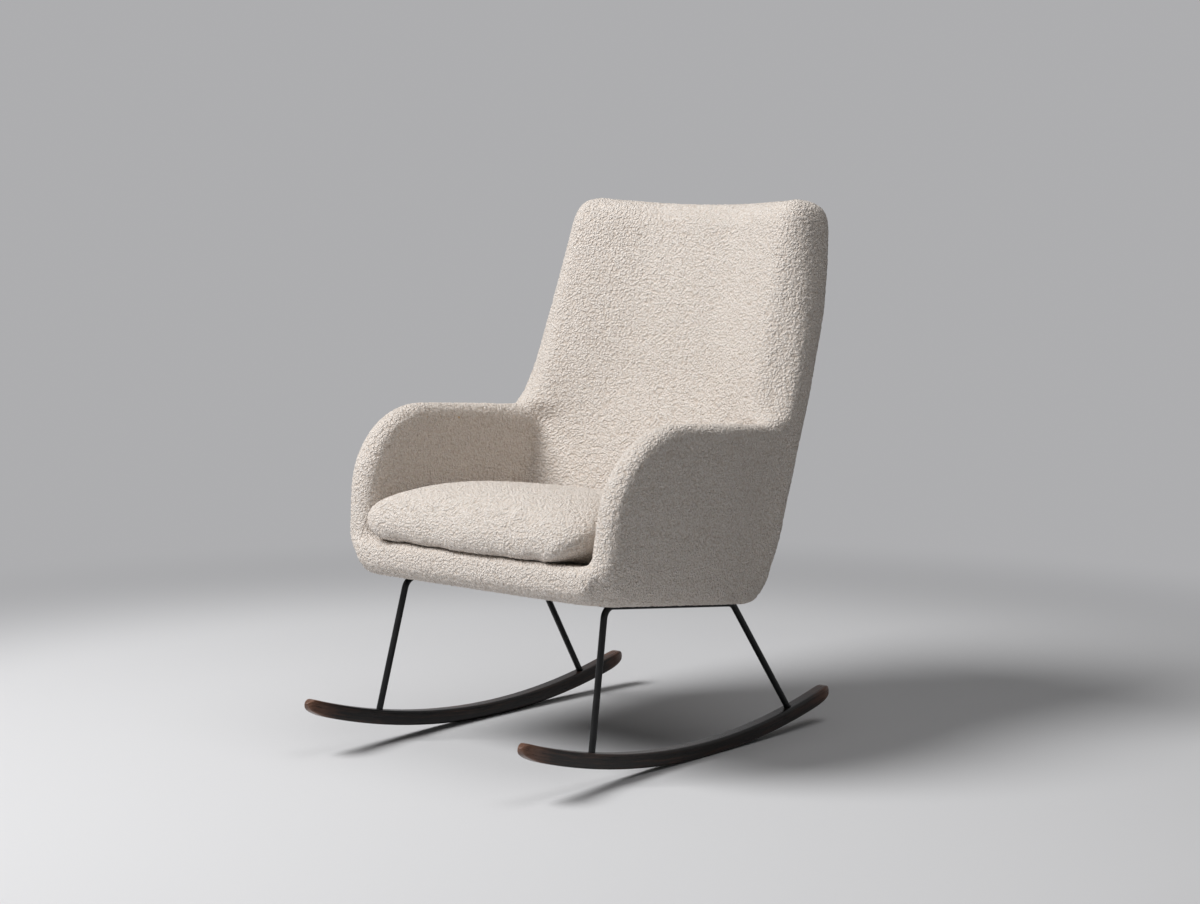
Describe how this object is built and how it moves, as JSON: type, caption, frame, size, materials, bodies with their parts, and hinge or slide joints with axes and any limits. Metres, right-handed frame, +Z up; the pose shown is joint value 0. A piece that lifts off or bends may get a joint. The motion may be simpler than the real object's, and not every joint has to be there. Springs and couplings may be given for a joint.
{
  "type": "upholstered rocking chair",
  "caption": "High-back upholstered rocking chair with integral arms and a loose seat cushion, on a bent steel rod base with curved wooden rockers.",
  "frame": {"origin": "on the floor, midway between the rocker tips and midway between the rockers", "axes": "+Z up, the sitter faces -Y, +X to the right of a viewer who faces the chair"},
  "size_m": [0.6604, 0.866, 0.9958],
  "materials": {
    "rocker_wood": "satin dark stain",
    "black_rod": "satin black",
    "black_fixings": "black oxide",
    "zinc_steel": "zinc plated",
    "plywood": "raw",
    "frame_timber": "raw",
    "webbing": "elastic weave",
    "boucle": "boucle",
    "padding": "foam",
    "lining": "plain weave",
    "dust_cloth": "non-woven"
  },
  "bodies": {
    "chair": {"rocker_right": "rocker_wood", "rocker_left": "rocker_wood", "side_frame_right": "black_rod", "side_frame_left": "black_rod", "front_cross_rail": "black_rod", "rear_cross_rail": "black_rod", "mounting_tabs": "black_rod", "leg_screws": "black_fixings", "frame_bolts": "black_fixings", "bolt_washers": "black_fixings", "tee_nuts": "zinc_steel", "frame_screws": "zinc_steel", "seat_panel": "plywood", "arm_panel_right": "plywood", "arm_panel_left": "plywood", "back_post_right": "frame_timber", "back_post_left": "frame_timber", "back_top_rail": "frame_timber", "back_lower_rail": "frame_timber", "seat_webbing": "webbing", "back_webbing": "webbing", "back_cover": "boucle", "arm_cover_right": "boucle", "arm_cover_left": "boucle", "seat_cover": "boucle", "back_foam": "padding", "arm_foam_right": "padding", "arm_foam_left": "padding", "seat_foam": "padding", "dust_cover": "dust_cloth"},
    "cushion": {"cushion_core": "padding", "cushion_cover": "boucle", "cushion_underside": "lining"}
  },
  "joints": [
    {"name": "cushion_lift", "type": "slide", "parent": "chair", "child": "cushion", "axis": [0, 0.1167, 0.9932], "range_m": [0, 0.25]}
  ]
}
